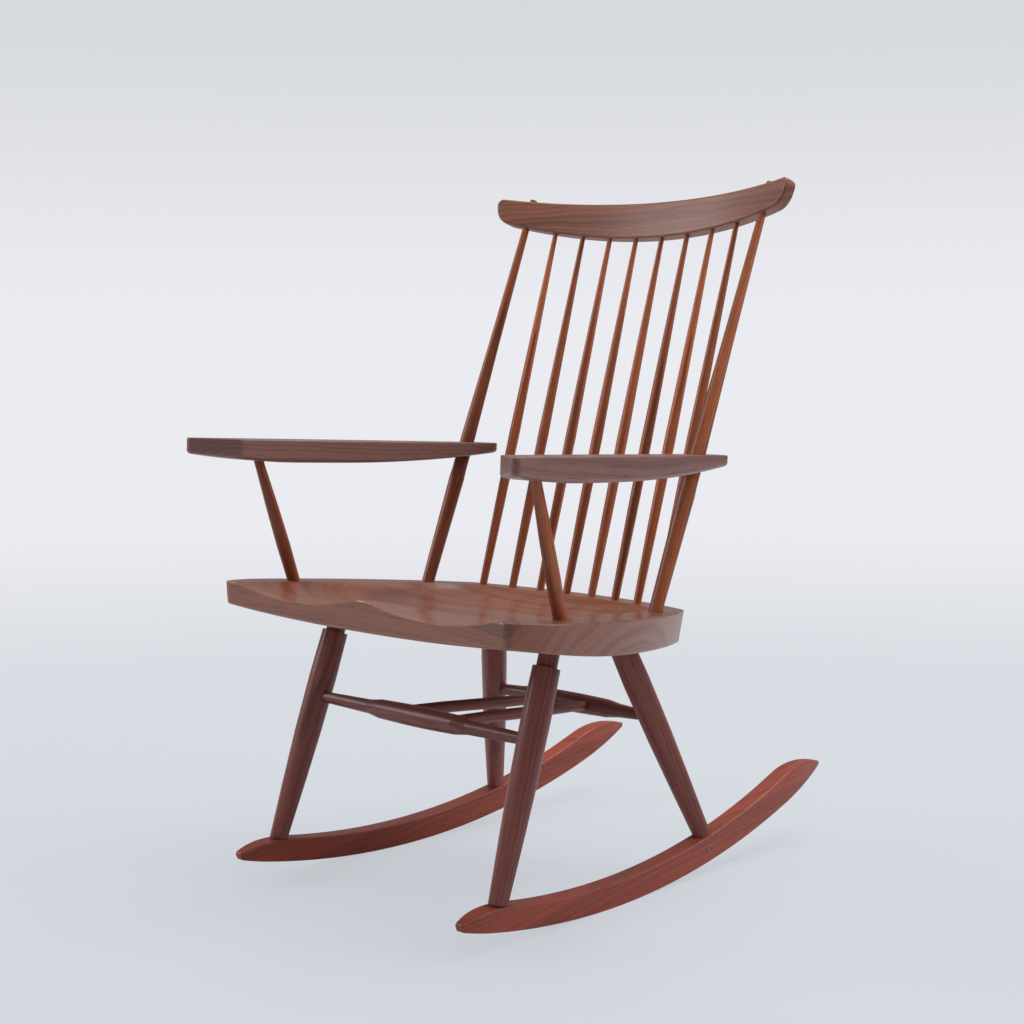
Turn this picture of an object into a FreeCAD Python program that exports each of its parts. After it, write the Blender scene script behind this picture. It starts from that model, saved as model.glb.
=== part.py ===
import FreeCAD, Part
import math
import os
from types import SimpleNamespace

import Sketcher

# A rocking armchair with a spindle back and a scooped plank seat.
# Millimetres, +Z up, the sitter faces -Y, left and right are mirror images in X.
# The sizes place the pieces with the legs' feet at equal distances before and behind the origin.
# At the end the chair is rocked to its balance, and the origin is on the floor under its middle.

SIZES = {
    # Fits: radial play of every round tenon, room at the bottom of a blind socket, reach of a cutting tool
    "joint_gap": 0.1,
    "socket_end_room": 1.0,
    "tool_reach": 15.0,
    # Rockers, seen from the side; low_y is where the curve is lowest before the chair is rocked
    "rocker_bottom_radius": 1199.0,
    "rocker_low_y": 10.0,
    "rocker_top_radius": 1112.5,
    "rocker_top_low_y": -2.2,
    "rocker_waist": 32.3,
    "rocker_width": 26.0,
    "rocker_nose_y": -272.0,
    "rocker_nose_height": 8.5,
    "rocker_nose_undercut": 5.0,
    "rocker_nose_shoulder_y": -185.0,
    "rocker_tail_y": 487.0,
    "rocker_tail_height": 5.0,
    "rocker_tail_undercut": 2.0,
    "rocker_tail_shoulder_y": 385.0,
    "rocker_nose_round": 4.0,
    "rocker_tail_round": 3.0,
    "rocker_nose_width": 10.0,
    "rocker_nose_taper_y": -225.0,
    "rocker_tail_width": 8.0,
    "rocker_tail_taper_y": 386.0,
    "rocker_edge": 2.0,
    "rocker_x": 201.3,
    "rocker_toe_in": 1.5,
    # Legs
    "leg_foot_y": 203.0,
    "leg_foot_radius": 12.0,
    "leg_thick_radius": 18.4,
    "leg_top_radius": 17.4,
    "leg_calf_radius": 15.3,
    "leg_calf_share": 0.28,
    "leg_knee_radius": 17.4,
    "leg_knee_share": 0.5,
    "leg_thick_share": 0.78,
    "leg_foot_tenon_radius": 8.0,
    "leg_foot_tenon": 22.0,
    "leg_neck_radius": 13.0,
    "leg_shoulder_edge": 1.0,
    "leg_seat_tenon": 20.0,
    "front_leg_inset": 90.0,
    "front_leg_seat_y": -98.7,
    "front_leg_neck": 21.7,
    "back_leg_inset": 170.2,
    "back_leg_seat_y": 121.9,
    "back_leg_housing": 9.5,
    "back_leg_tenon_radius": 11.0,
    "back_leg_seat_tenon": 18.0,
    # Stretchers
    "front_stretcher_height": 236.0,
    "back_stretcher_height": 214.0,
    "stretcher_thick_radius": 13.7,
    "stretcher_shoulder_radius": 12.6,
    "stretcher_neck_radius": 9.4,
    "stretcher_end_radius": 7.4,
    "stretcher_middle_half": 20.0,
    "stretcher_thick_half": 70.0,
    "stretcher_shoulder": 22.0,
    "stretcher_past_leg_axis": 2.0,
    "medial_front_x": 46.5,
    "medial_back_x": 36.1,
    "medial_end_radius": 6.5,
    "medial_thick_radius": 7.8,
    "medial_thick_half": 60.0,
    "medial_tenon": 10.0,
    # Seat, flat top in its own frame, tilted down to the back; insets run in from the widest point
    "seat_height": 377.0,
    "seat_tilt": 4.8,
    "seat_thickness": 44.0,
    "seat_edge_undercut": 6.0,
    "seat_corner_inset": 24.0,
    "seat_corner_y": -246.0,
    "seat_front_hollow": 9.0,
    "seat_wide_x": 286.0,
    "seat_wide_y": -170.0,
    "seat_rear_inset": 88.0,
    "seat_rear_y": 158.0,
    "seat_rear_bulge": 47.0,
    "seat_front_round": 12.0,
    "seat_rear_round": 20.0,
    "seat_top_edge": 2.0,
    "seat_bottom_edge": 4.0,
    # Hollow turned under the seat's front, about a vertical axis behind the seat
    "relief_centre_y": 200.0,
    "relief_start": 344.0,
    "relief_arc": 1025.0,
    "relief_reach": 240.0,
    # Scoop of the seat's top
    "scoop_depth": 20.0,
    "scoop_wall": 30.0,
    "scoop_support_margin": 8.0,
    "scoop_post_margin": 17.0,
    "scoop_spindle_margin": 13.0,
    "scoop_blend": 24.0,
    "scoop_front_depth": 15.0,
    "scoop_front_x": 125.0,
    "scoop_middle_y": -60.0,
    "scoop_ridge_round": 8.0,
    "scoop_step": 14.0,
    # Back: feet on the seat, tops in the crest rail
    "spindle_foot_inset": 122.55,
    "spindle_foot_arc": 521.0,
    "spindle_foot_y": 171.0,
    "spindle_top_pitch": 47.8,
    "spindle_foot_radius": 5.5,
    "spindle_low_radius": 6.9,
    "spindle_thick_radius": 7.6,
    "spindle_slim_radius": 5.8,
    "spindle_top_radius": 3.5,
    "spindle_low_share": 0.22,
    "spindle_thick_share": 0.43,
    "spindle_slim_share": 0.7,
    "spindle_seat_tenon": 20.0,
    "spindle_crest_tenon": 24.0,
    "post_foot_inset": 74.2,
    "post_foot_y": 79.6,
    "post_top_x": 217.6,
    "post_foot_radius": 9.0,
    "post_thick_radius": 11.0,
    "post_arm_radius": 10.3,
    "post_slim_radius": 7.6,
    "post_top_radius": 5.3,
    "post_slim_share": 0.45,
    "post_under_arm": 24.0,
    "post_seat_tenon": 24.0,
    "post_above_crest": 4.5,
    "wedge_thickness": 1.8,
    "wedge_depth": 18.0,
    # Crest rail, in its own leaning frame
    "crest_height": 863.5,
    "crest_y": 317.5,
    "crest_lean": 16.5,
    "crest_plan_radius": 740.0,
    "crest_front_cover": 7.0,
    "crest_back_cover": 13.0,
    "crest_middle_rise": 53.0,
    "crest_bottom_radius": 1650.0,
    "crest_top_radius": 9000.0,
    "crest_half_length": 269.0,
    "crest_end_slant": 8.0,
    "crest_end_round": 26.0,
    "crest_top_corner": 9.5,
    "crest_edge": 3.0,
    # Arms, in their own frame: the post's axis at the flat top, X outwards
    "arm_height": 569.2,
    "arm_slope": 2.5,
    "arm_thickness": 30.5,
    "arm_front_thickness": 19.5,
    "arm_rear_thickness": 13.5,
    "arm_front_taper": 140.0,
    "arm_rear_taper": 280.0,
    "arm_outer_front_x": 93.0,
    "arm_outer_front_y": -444.0,
    "arm_inner_front_x": 24.0,
    "arm_inner_front_y": -393.0,
    "arm_inner_rear_x": -26.0,
    "arm_inner_rear_y": 50.0,
    "arm_outer_rear_x": 20.0,
    "arm_outer_rear_y": 44.0,
    "arm_outer_swell": 7.0,
    "arm_inner_swell": 3.0,
    "arm_front_corner": 7.0,
    "arm_rear_corner": 15.0,
    "arm_top_edge": 1.5,
    "arm_bottom_edge": 5.0,
    # Arm supports: feet on the seat, tops under the arms
    "support_foot_inset": 39.2,
    "support_foot_y": -140.5,
    "support_top_x": 41.5,
    "support_top_y": -350.5,
    "support_foot_radius": 8.5,
    "support_thick_radius": 9.2,
    "support_slim_radius": 8.3,
    "support_top_radius": 6.5,
    "support_thick_share": 0.3,
    "support_slim_share": 0.62,
    "support_seat_tenon": 22.0,
    "support_arm_tenon": 14.0,
}

doc = FreeCAD.newDocument("rocking_armchair")
sheet = doc.addObject("Spreadsheet::Sheet", "Sizes")


class Size:
    """A number that also remembers the cells it comes from, so that it can be bound in the model."""

    def __init__(self, value, text):
        self.value = float(value)
        self.text = text

    @staticmethod
    def of(other):
        return other if isinstance(other, Size) else Size(other, f"{float(other)!r}")

    def _with(self, other, sign, value):
        return Size(value, f"({self.text} {sign} {Size.of(other).text})")

    def __add__(self, other):
        return self._with(other, "+", self.value + float(other))

    def __sub__(self, other):
        return self._with(other, "-", self.value - float(other))

    def __mul__(self, other):
        return self._with(other, "*", self.value * float(other))

    def __truediv__(self, other):
        return self._with(other, "/", self.value / float(other))

    def __radd__(self, other):
        return Size.of(other) + self

    def __rsub__(self, other):
        return Size.of(other) - self

    def __rmul__(self, other):
        return Size.of(other) * self

    def __neg__(self):
        return Size.of(0) - self

    def __float__(self):
        return self.value


for row, (name, value) in enumerate(SIZES.items(), 1):
    sheet.set(f"A{row}", name)
    sheet.set(f"B{row}", str(value))
    sheet.setAlias(f"B{row}", name)
doc.recompute()
s = SimpleNamespace(**{name: Size(value, f"Sizes.{name}") for name, value in SIZES.items()})


def bind(item, prop, size):
    """Ties one property of an object to the sheet."""
    item.setExpression(prop, Size.of(size).text)


def vector(x, y, z):
    return FreeCAD.Vector(float(x), float(y), float(z))


def root(size):
    size = Size.of(size)
    return Size(math.sqrt(size.value), f"sqrt({size.text})")


def smaller(a, b):
    a, b = Size.of(a), Size.of(b)
    return Size(min(a.value, b.value), f"min({a.text}; {b.text})")


def rise_of_arc(radius, aside):
    """How far an arc has risen from its tangent at a distance along that tangent."""
    return radius - root(radius * radius - aside * aside)


def bulging(start, end, swell):
    """Radius of the arc from start to end that stands off its chord by the swell."""
    dx = Size.of(end[0]) - start[0]
    dy = Size.of(end[1]) - start[1]
    return ((dx * dx + dy * dy) / 4 + swell * swell) / (2 * swell)


# Sketches

def origin_plane(body, role):
    return [item for item in body.Origin.OriginFeatures if item.Role == role][0]


def new_sketch(body, name, role):
    sketch = body.newObject("Sketcher::SketchObject", name)
    sketch.AttachmentSupport = [(origin_plane(body, role), "")]
    sketch.MapMode = "FlatFace"
    return sketch


def hold(sketch, kind, geo, pos, size):
    """Holds a sketch point at a bound distance from the origin, or on an axis where that is nothing."""
    size = Size.of(size)
    if size.text == "0.0":
        axis = -2 if kind == "DistanceX" else -1
        sketch.addConstraint(Sketcher.Constraint("PointOnObject", geo, pos, axis))
        return
    index = sketch.addConstraint(Sketcher.Constraint(kind, -1, 1, geo, pos, size.value))
    sketch.setExpression(f"Constraints[{index}]", size.text)


def draw(sketch, corners, right=None, left=None):
    """Draws a closed outline through the corners.

    Edges are numbered from 0. One that is named in right or left is an arc of that radius, which bulges
    to that side of the way it is drawn; the others are straight.
    """
    radii = {**(right or {}), **(left or {})}
    first = sketch.GeometryCount
    ends = []
    for number, start in enumerate(corners):
        end = corners[(number + 1) % len(corners)]
        p = vector(start[0], start[1], 0)
        q = vector(end[0], end[1], 0)
        if number not in radii:
            sketch.addGeometry(Part.LineSegment(p, q), False)
            ends.append((1, 2))
            continue
        radius = float(radii[number])
        chord = q - p
        aside = vector(chord.y, -chord.x, 0).normalize()
        swell = radius - math.sqrt(radius ** 2 - chord.Length ** 2 / 4)
        if right and number in right:
            sketch.addGeometry(Part.Arc(p, (p + q) * 0.5 + aside * swell, q), False)
            ends.append((1, 2))
        else:
            sketch.addGeometry(Part.Arc(q, (p + q) * 0.5 - aside * swell, p), False)
            ends.append((2, 1))
    for number, start in enumerate(corners):
        geo = first + number
        before = first + (number - 1) % len(corners)
        sketch.addConstraint(
            Sketcher.Constraint("Coincident", before, ends[number - 1][1], geo, ends[number][0])
        )
        hold(sketch, "DistanceX", geo, ends[number][0], start[0])
        hold(sketch, "DistanceY", geo, ends[number][0], start[1])
    for number, radius in radii.items():
        radius = Size.of(radius)
        index = sketch.addConstraint(Sketcher.Constraint("Radius", first + number, radius.value))
        sketch.setExpression(f"Constraints[{index}]", radius.text)
    return sketch


# Features

# Distance within which two places count as the same
SAME = 0.01


def new_body(name):
    body = doc.addObject("PartDesign::Body", name)
    body.Label = name
    return body


def pad(body, sketch, length, symmetric=False, downwards=False):
    feature = body.newObject("PartDesign::Pad", sketch.Name + "_pad")
    feature.Profile = sketch
    bind(feature, "Length", length)
    feature.Midplane = symmetric
    feature.Reversed = downwards
    doc.recompute()
    return feature


def undercut(body, name, angle):
    """Leans the body's upright sides in towards the bottom, and makes sure that it got smaller."""
    base = body.Tip
    before = base.Shape.Volume
    sides = []
    tops = []
    for number, face in enumerate(base.Shape.Faces, 1):
        if face.BoundBox.ZLength > 1:
            sides.append(f"Face{number}")
        elif face.CenterOfMass.z > -1:
            tops.append(f"Face{number}")
    feature = body.newObject("PartDesign::Draft", name)
    feature.Base = (base, sides)
    feature.NeutralPlane = (base, tops)
    feature.Reversed = True
    bind(feature, "Angle", angle)
    doc.recompute()
    if not feature.Shape.Volume < before:
        raise RuntimeError(f"{name} took nothing away")
    return feature


def pocket_through(body, sketch):
    """Cuts the sketch through all of the body, both ways, and makes sure that it took something away."""
    before = body.Shape.Volume
    feature = body.newObject("PartDesign::Pocket", sketch.Name + "_cut")
    feature.Profile = sketch
    feature.Type = "ThroughAll"
    feature.Midplane = True
    doc.recompute()
    if not body.Shape.Volume < before:
        raise RuntimeError(f"{feature.Name} cut nothing")
    return feature


def soften(body, name, radius, test):
    """Rounds the body's edges that pass the test."""
    base = body.Tip
    names = [f"Edge{number}" for number, edge in enumerate(base.Shape.Edges, 1) if test(edge)]
    feature = body.newObject("PartDesign::Fillet", name)
    feature.Base = (base, names)
    bind(feature, "Radius", radius)
    doc.recompute()
    return feature


def middle_of(edge):
    return edge.valueAt((edge.FirstParameter + edge.LastParameter) / 2)


def between_top_and_bottom(edge):
    ends = edge.Vertexes
    return len(ends) == 2 and abs(ends[0].Z - ends[1].Z) > 5


def rim(edge):
    """True for an edge between a side and the top or bottom."""
    return not between_top_and_bottom(edge)


def turned(name, stations, placement):
    """A turned piece, from stations of (height, radius) up its axis."""
    body = new_body(name)
    corners = [(0, stations[0][0])]
    corners += [(radius, height) for height, radius in stations]
    corners.append((0, stations[-1][0]))
    sketch = draw(new_sketch(body, name + "_profile", "XZ_Plane"), corners)
    feature = body.newObject("PartDesign::Revolution", name + "_turning")
    feature.Profile = sketch
    feature.ReferenceAxis = (sketch, ["V_Axis"])
    feature.Angle = 360.0
    body.Placement = placement
    return body


def rod(name, radius, length, placement):
    """A plain round tool or tenon, which runs up from its placement."""
    item = doc.addObject("Part::Cylinder", name)
    bind(item, "Radius", radius)
    bind(item, "Height", length)
    item.Placement = placement
    return item


def joined(name, *pieces):
    fuse = doc.addObject("Part::MultiFuse", name)
    fuse.Shapes = list(pieces)
    return fuse


def common(name, base, tool):
    shared = doc.addObject("Part::Common", name)
    shared.Base = base
    shared.Tool = tool
    return shared


def less(name, base, *tools):
    """The base with the tools cut away."""
    cut = doc.addObject("Part::Cut", name)
    cut.Base = base
    cut.Tool = tools[0] if len(tools) == 1 else joined(name + "_tools", *tools)
    return cut


class Line:
    """The axis of a round piece: a start, and a direction towards another point."""

    def __init__(self, start, end):
        self.start = start
        self.length = (end - start).Length
        self.direction = (end - start).normalize()

    def at(self, distance):
        return self.start + self.direction * float(distance)

    def frame(self, distance=0.0):
        """A placement on the line whose Z runs along it."""
        return FreeCAD.Placement(self.at(distance), FreeCAD.Rotation(UP, self.direction))

    def meets(self, point, normal):
        """How far along the line it meets a plane."""
        return (point - self.start).dot(normal) / self.direction.dot(normal)

    def at_height(self, height):
        return self.at(self.meets(vector(0, 0, height), UP))

    def reversed(self):
        return Line(self.at(self.length), self.start)


def socket(name, line, end, radius, depth):
    """Tool for a round socket that holds the start of a line's piece.

    The piece ends at a distance along the line. The tool starts a little before that end, and runs along
    the line over the piece's depth in the wood and a reach more.
    """
    frame = line.frame(float(end) - s.socket_end_room.value)
    return rod(name, radius + s.joint_gap, s.socket_end_room + depth + s.tool_reach, frame)


nodes = {}


def piece(name, item):
    """Enters a finished piece of the chair under its name."""
    item.Label = name
    nodes[name] = item
    return item


# Places that follow the seat's width

SPINDLE_COUNT = 8
spindles_aside = (SPINDLE_COUNT - 1) / 2
seat_corner_x = s.seat_wide_x - s.seat_corner_inset
seat_rear_x = s.seat_wide_x - s.seat_rear_inset
front_leg_seat_x = s.seat_wide_x - s.front_leg_inset
back_leg_seat_x = s.seat_wide_x - s.back_leg_inset
post_foot_x = s.seat_wide_x - s.post_foot_inset
support_foot_x = s.seat_wide_x - s.support_foot_inset
spindle_foot_pitch = (s.seat_wide_x - s.spindle_foot_inset) / spindles_aside


# Frames: the tilted seat, the leaning crest rail and the toed-in rockers

UP = vector(0, 0, 1)
SIDES = (("left", 1), ("right", -1))


def tilted(base, angle):
    return FreeCAD.Placement(base, FreeCAD.Rotation(vector(1, 0, 0), float(angle)))


seat_frame = tilted(vector(0, 0, s.seat_height), -s.seat_tilt)
crest_frame = tilted(vector(0, s.crest_y, s.crest_height), -s.crest_lean)


def on_seat(x, y):
    return seat_frame.multVec(vector(x, y, 0))


def under_seat(x, y):
    return seat_frame.multVec(vector(x, y, -s.seat_thickness))


def under_crest(x):
    """Point of the crest rail's underside where a spindle or post enters."""
    forward = rise_of_arc(s.crest_plan_radius, Size.of(x))
    return crest_frame.multVec(vector(x, -forward, rise_of_arc(s.crest_bottom_radius, Size.of(x))))


def rocker_floor(y):
    """Height of a rocker's underside above the floor."""
    return rise_of_arc(s.rocker_bottom_radius, y - s.rocker_low_y)


def rocker_top(y):
    """Height of a rocker's upper edge above the floor."""
    return s.rocker_waist + rise_of_arc(s.rocker_top_radius, y - s.rocker_top_low_y)


def rocker_frame(side):
    turn = FreeCAD.Rotation(UP, side * s.rocker_toe_in.value)
    return FreeCAD.Placement(vector(side * s.rocker_x, 0, 0), turn)


def leg_line(side, y, top):
    """A leg's axis, from the middle of its rocker's upper edge to a point on the seat's underside."""
    return Line(rocker_frame(side).multVec(vector(0, y, rocker_top(y))), top)


# Axes of the round pieces

front_leg_lines = {}
back_leg_lines = {}
post_lines = {}
support_lines = {}
arm_frames = {}
for hand, side in SIDES:
    front_top = under_seat(side * front_leg_seat_x, s.front_leg_seat_y)
    back_top = under_seat(side * back_leg_seat_x, s.back_leg_seat_y)
    front_leg_lines[hand] = leg_line(side, -s.leg_foot_y, front_top)
    back_leg_lines[hand] = leg_line(side, s.leg_foot_y, back_top)
    post = Line(on_seat(side * post_foot_x, s.post_foot_y), under_crest(side * s.post_top_x))
    post_lines[hand] = post
    arm_frames[hand] = tilted(post.at_height(s.arm_height), -s.arm_slope)
    support_top = arm_frames[hand].multVec(
        vector(side * s.support_top_x, s.support_top_y, -s.arm_thickness)
    )
    support_lines[hand] = Line(on_seat(side * support_foot_x, s.support_foot_y), support_top)


def cross_line(leg_lines, height):
    """Axis of a cross stretcher, from the right leg's axis to the left leg's."""
    return Line(leg_lines["right"].at_height(height), leg_lines["left"].at_height(height))


front_cross = cross_line(front_leg_lines, s.front_stretcher_height)
back_cross = cross_line(back_leg_lines, s.back_stretcher_height)
medial_lines = {}
for hand, side in SIDES:
    front_end = front_cross.at(front_cross.length / 2 + side * s.medial_front_x.value)
    back_end = back_cross.at(back_cross.length / 2 + side * s.medial_back_x.value)
    medial_lines[hand] = Line(front_end, back_end)

spindle_lines = []
for number in range(SPINDLE_COUNT):
    place = spindles_aside - number
    foot_x = place * spindle_foot_pitch
    foot_y = s.spindle_foot_y - rise_of_arc(s.spindle_foot_arc, foot_x)
    spindle_lines.append(Line(on_seat(foot_x, foot_y), under_crest(place * s.spindle_top_pitch)))


# Rockers

def rocker_corner(y, above_floor):
    return (y, rocker_floor(y) + above_floor)


def tangent_radius(start, end, centre_y, centre_height, radius):
    """Radius of the arc to the end that leaves the start smoothly from an arc about the centre."""
    dy = end[0] - start[0]
    dz = end[1] - start[1]
    along = dy * (start[0] - centre_y) + dz * (start[1] - centre_height)
    return (dy * dy + dz * dz) * radius / (2 * along)


def narrowing_radius(aside, along):
    """Radius of the arc that moves aside over a length, from a start along that length."""
    return (aside * aside + along * along) / (2 * aside)


def make_rocker(hand, side):
    body = new_body(f"{hand}_rocker_blank")
    nose = rocker_corner(s.rocker_nose_y, s.rocker_nose_height)
    tail = rocker_corner(s.rocker_tail_y, s.rocker_tail_height)
    nose_shoulder = (s.rocker_nose_shoulder_y, rocker_top(s.rocker_nose_shoulder_y))
    tail_shoulder = (s.rocker_tail_shoulder_y, rocker_top(s.rocker_tail_shoulder_y))
    corners = [
        rocker_corner(s.rocker_nose_y + s.rocker_nose_undercut, 0),
        rocker_corner(s.rocker_tail_y - s.rocker_tail_undercut, 0),
        tail,
        tail_shoulder,
        nose_shoulder,
        nose,
    ]
    centre_height = s.rocker_waist + s.rocker_top_radius
    centre = (s.rocker_top_low_y, centre_height, s.rocker_top_radius)
    tail_radius = tangent_radius(tail_shoulder, tail, *centre)
    nose_radius = tangent_radius(nose_shoulder, nose, *centre)
    sketch = draw(
        new_sketch(body, f"{hand}_rocker_outline", "YZ_Plane"),
        corners,
        right={0: s.rocker_bottom_radius, 2: tail_radius, 4: nose_radius},
        left={3: s.rocker_top_radius},
    )
    pad(body, sketch, s.rocker_width, symmetric=True)
    nose_end = s.rocker_nose_y.value + s.rocker_nose_undercut.value + 1
    tail_end = s.rocker_tail_y.value - s.rocker_tail_undercut.value - 1
    soften(body, f"{hand}_rocker_nose", s.rocker_nose_round,
           lambda edge: abs(middle_of(edge).x) < SAME and middle_of(edge).y < nose_end)
    soften(body, f"{hand}_rocker_tail", s.rocker_tail_round,
           lambda edge: abs(middle_of(edge).x) < SAME and middle_of(edge).y > tail_end)
    half = s.rocker_width / 2
    nose_half = s.rocker_nose_width / 2
    tail_half = s.rocker_tail_width / 2
    nose_arc = narrowing_radius(half - nose_half, s.rocker_nose_taper_y - s.rocker_nose_y)
    tail_arc = narrowing_radius(half - tail_half, s.rocker_tail_y - s.rocker_tail_taper_y)
    wide = s.rocker_width + s.tool_reach
    front = s.rocker_nose_y - s.tool_reach
    back = s.rocker_tail_y + s.tool_reach
    plan = new_sketch(body, f"{hand}_rocker_plan", "XY_Plane")
    draw(plan, [(-wide, front - wide), (wide, front - wide), (wide, back + wide), (-wide, back + wide)])
    draw(
        plan,
        [
            (-nose_half, front),
            (nose_half, front),
            (nose_half, s.rocker_nose_y),
            (half, s.rocker_nose_taper_y),
            (half, s.rocker_tail_taper_y),
            (tail_half, s.rocker_tail_y),
            (tail_half, back),
            (-tail_half, back),
            (-tail_half, s.rocker_tail_y),
            (-half, s.rocker_tail_taper_y),
            (-half, s.rocker_nose_taper_y),
            (-nose_half, s.rocker_nose_y),
        ],
        right={2: nose_arc, 4: tail_arc, 8: tail_arc, 10: nose_arc},
    )
    pocket_through(body, plan)

    def half_width(y):
        """Half the rocker's width at a place along it."""
        if y < s.rocker_nose_taper_y.value:
            return float(half - rise_of_arc(nose_arc, s.rocker_nose_taper_y - y))
        if y > s.rocker_tail_taper_y.value:
            return float(half - rise_of_arc(tail_arc, y - s.rocker_tail_taper_y))
        return float(half)

    def on_a_side(edge):
        """True for an edge that runs along one of the rocker's sides."""
        start, end = edge.Vertexes
        point = middle_of(edge)
        return abs(start.Y - end.Y) > SAME and abs(abs(point.x) - half_width(point.y)) < SAME

    soften(body, f"{hand}_rocker_edges", s.rocker_edge, on_a_side)
    body.Placement = rocker_frame(side)
    return body


for hand, side in SIDES:
    sockets = []
    for end, line in (("front", front_leg_lines[hand]), ("back", back_leg_lines[hand])):
        name = f"{hand}_rocker_{end}_socket"
        sockets.append(
            socket(name, line, -s.leg_foot_tenon, s.leg_foot_tenon_radius, s.leg_foot_tenon)
        )
    blank = make_rocker(hand, side)
    piece(f"{hand}_rocker", less(f"{hand}_rocker", blank, *sockets))


# Legs: their feet are hollowed to the curve of the rockers

def rocker_bed(name, side):
    """The round room above a rocker's upper edge, wide enough for a leg that leans inwards."""
    aside = s.rocker_x
    bed = doc.addObject("Part::Cylinder", name)
    bind(bed, "Radius", s.rocker_top_radius)
    bind(bed, "Height", 2 * aside)
    centre = vector(-aside, s.rocker_top_low_y, s.rocker_waist + s.rocker_top_radius)
    lying = FreeCAD.Placement(centre, FreeCAD.Rotation(UP, vector(1, 0, 0)))
    bed.Placement = rocker_frame(side).multiply(lying)
    return bed


def make_leg(hand, side, end, line, cross, visible, top):
    """A turned leg with its tenons, bedded on the rocker and bored for the cross stretcher.

    The visible length is turned alike on all legs, and the top's stations follow it.
    """
    name = f"{hand}_{end}_leg"
    stations = [
        (-s.leg_foot_radius, s.leg_foot_radius),
        (0, s.leg_foot_radius),
        (visible * s.leg_calf_share, s.leg_calf_radius),
        (visible * s.leg_knee_share, s.leg_knee_radius),
        (visible * s.leg_thick_share, s.leg_thick_radius),
    ]
    blank = turned(name + "_turned", stations + top, line.frame())
    bedded = common(name + "_bedded", blank, rocker_bed(name + "_bed", side))
    tenon = rod(
        name + "_foot_tenon",
        s.leg_foot_tenon_radius,
        s.leg_foot_tenon + s.leg_foot_radius,
        line.frame(-s.leg_foot_tenon),
    )
    inwards = cross.reversed() if side > 0 else cross
    past = s.stretcher_past_leg_axis
    bore = socket(name + "_socket", inwards, -past, s.stretcher_end_radius, past + s.leg_thick_radius)
    piece(name, less(name, joined(name + "_whole", bedded, tenon), bore))


for hand, side in SIDES:
    line = front_leg_lines[hand]
    shoulder = line.length - s.front_leg_neck
    make_leg(hand, side, "front", line, front_cross, shoulder, [
        (shoulder, s.leg_top_radius),
        (shoulder, s.leg_neck_radius),
        (line.length + s.leg_seat_tenon, s.leg_neck_radius),
    ])
    line = back_leg_lines[hand]
    shoulder = line.length + s.back_leg_housing
    make_leg(hand, side, "back", line, back_cross, Size.of(line.length), [
        (line.length - s.leg_top_radius, s.leg_top_radius),
        (shoulder, s.leg_top_radius),
        (shoulder, s.back_leg_tenon_radius),
        (line.length + s.back_leg_seat_tenon, s.back_leg_tenon_radius),
    ])


# Stretchers

def make_cross_stretcher(name, line, medials):
    """A cross stretcher with a thick middle, which is bored for the two medial ones."""
    half = Size.of(line.length / 2)
    neck = s.stretcher_thick_half + s.stretcher_shoulder
    leg_side = half - s.leg_thick_radius
    end = half + s.stretcher_past_leg_axis
    stations = [
        (-end, s.stretcher_end_radius),
        (-leg_side, s.stretcher_end_radius),
        (-neck, s.stretcher_neck_radius),
        (-s.stretcher_thick_half, s.stretcher_shoulder_radius),
        (-s.stretcher_middle_half, s.stretcher_thick_radius),
        (s.stretcher_middle_half, s.stretcher_thick_radius),
        (s.stretcher_thick_half, s.stretcher_shoulder_radius),
        (neck, s.stretcher_neck_radius),
        (leg_side, s.stretcher_end_radius),
        (end, s.stretcher_end_radius),
    ]
    blank = turned(name + "_turned", stations, line.frame(line.length / 2))
    bores = []
    for number, medial in enumerate(medials):
        short = s.stretcher_thick_radius - s.medial_tenon
        bores.append(
            socket(f"{name}_socket_{number}", medial, short, s.medial_end_radius, s.medial_tenon)
        )
    piece(name, less(name, blank, *bores))


make_cross_stretcher("front_stretcher", front_cross, medial_lines.values())
make_cross_stretcher("back_stretcher", back_cross, [line.reversed() for line in medial_lines.values()])

for hand, line in medial_lines.items():
    end = Size.of(line.length / 2) - s.stretcher_thick_radius + s.medial_tenon
    straight = Size.of(line.length / 2) - s.stretcher_thick_radius
    piece(f"{hand}_medial_stretcher", turned(f"{hand}_medial_stretcher", [
        (-end, s.medial_end_radius),
        (-straight, s.medial_end_radius),
        (-s.medial_thick_half, s.medial_thick_radius),
        (s.medial_thick_half, s.medial_thick_radius),
        (straight, s.medial_end_radius),
        (end, s.medial_end_radius),
    ], line.frame(line.length / 2)))


# Seat

def scoop_height(x, y):
    """Height of the carved top above the seat's flat top, which stays where this is above it."""
    aside = math.hypot(x, s.scoop_ridge_round.value)
    front_y = s.seat_corner_y.value
    support_edge = support_foot_x.value - s.scoop_support_margin.value
    post_edge = post_foot_x.value - s.scoop_post_margin.value
    to_support = (s.support_foot_y.value - front_y) ** 2
    to_post = (s.post_foot_y.value - front_y) ** 2
    narrowing = (support_edge - post_edge) / (to_post - to_support)
    front_edge = support_edge + narrowing * to_support
    side_edge = front_edge - narrowing * (y - front_y) ** 2
    arc = s.spindle_foot_arc.value
    back_middle = s.spindle_foot_y.value - s.scoop_spindle_margin.value
    back_edge = back_middle - arc + math.sqrt(arc ** 2 - min(x * x, arc ** 2 / 2))
    to_back = back_edge - y
    to_side = side_edge - aside
    inside = (to_back + to_side - math.hypot(to_back - to_side, s.scoop_blend.value)) / 2
    bowl = s.scoop_depth.value * math.tanh(inside / s.scoop_wall.value)
    trough_half = front_edge - s.scoop_front_x.value
    trough = s.scoop_front_depth.value * (1 - ((aside - s.scoop_front_x.value) / trough_half) ** 2)
    share = (s.scoop_middle_y.value - y) / (s.scoop_middle_y.value - front_y)
    share = min(max(share, 0.0), 1.0)
    share = share * share * (3 - 2 * share)
    return -(share * trough + (1 - share) * bowl)


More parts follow.
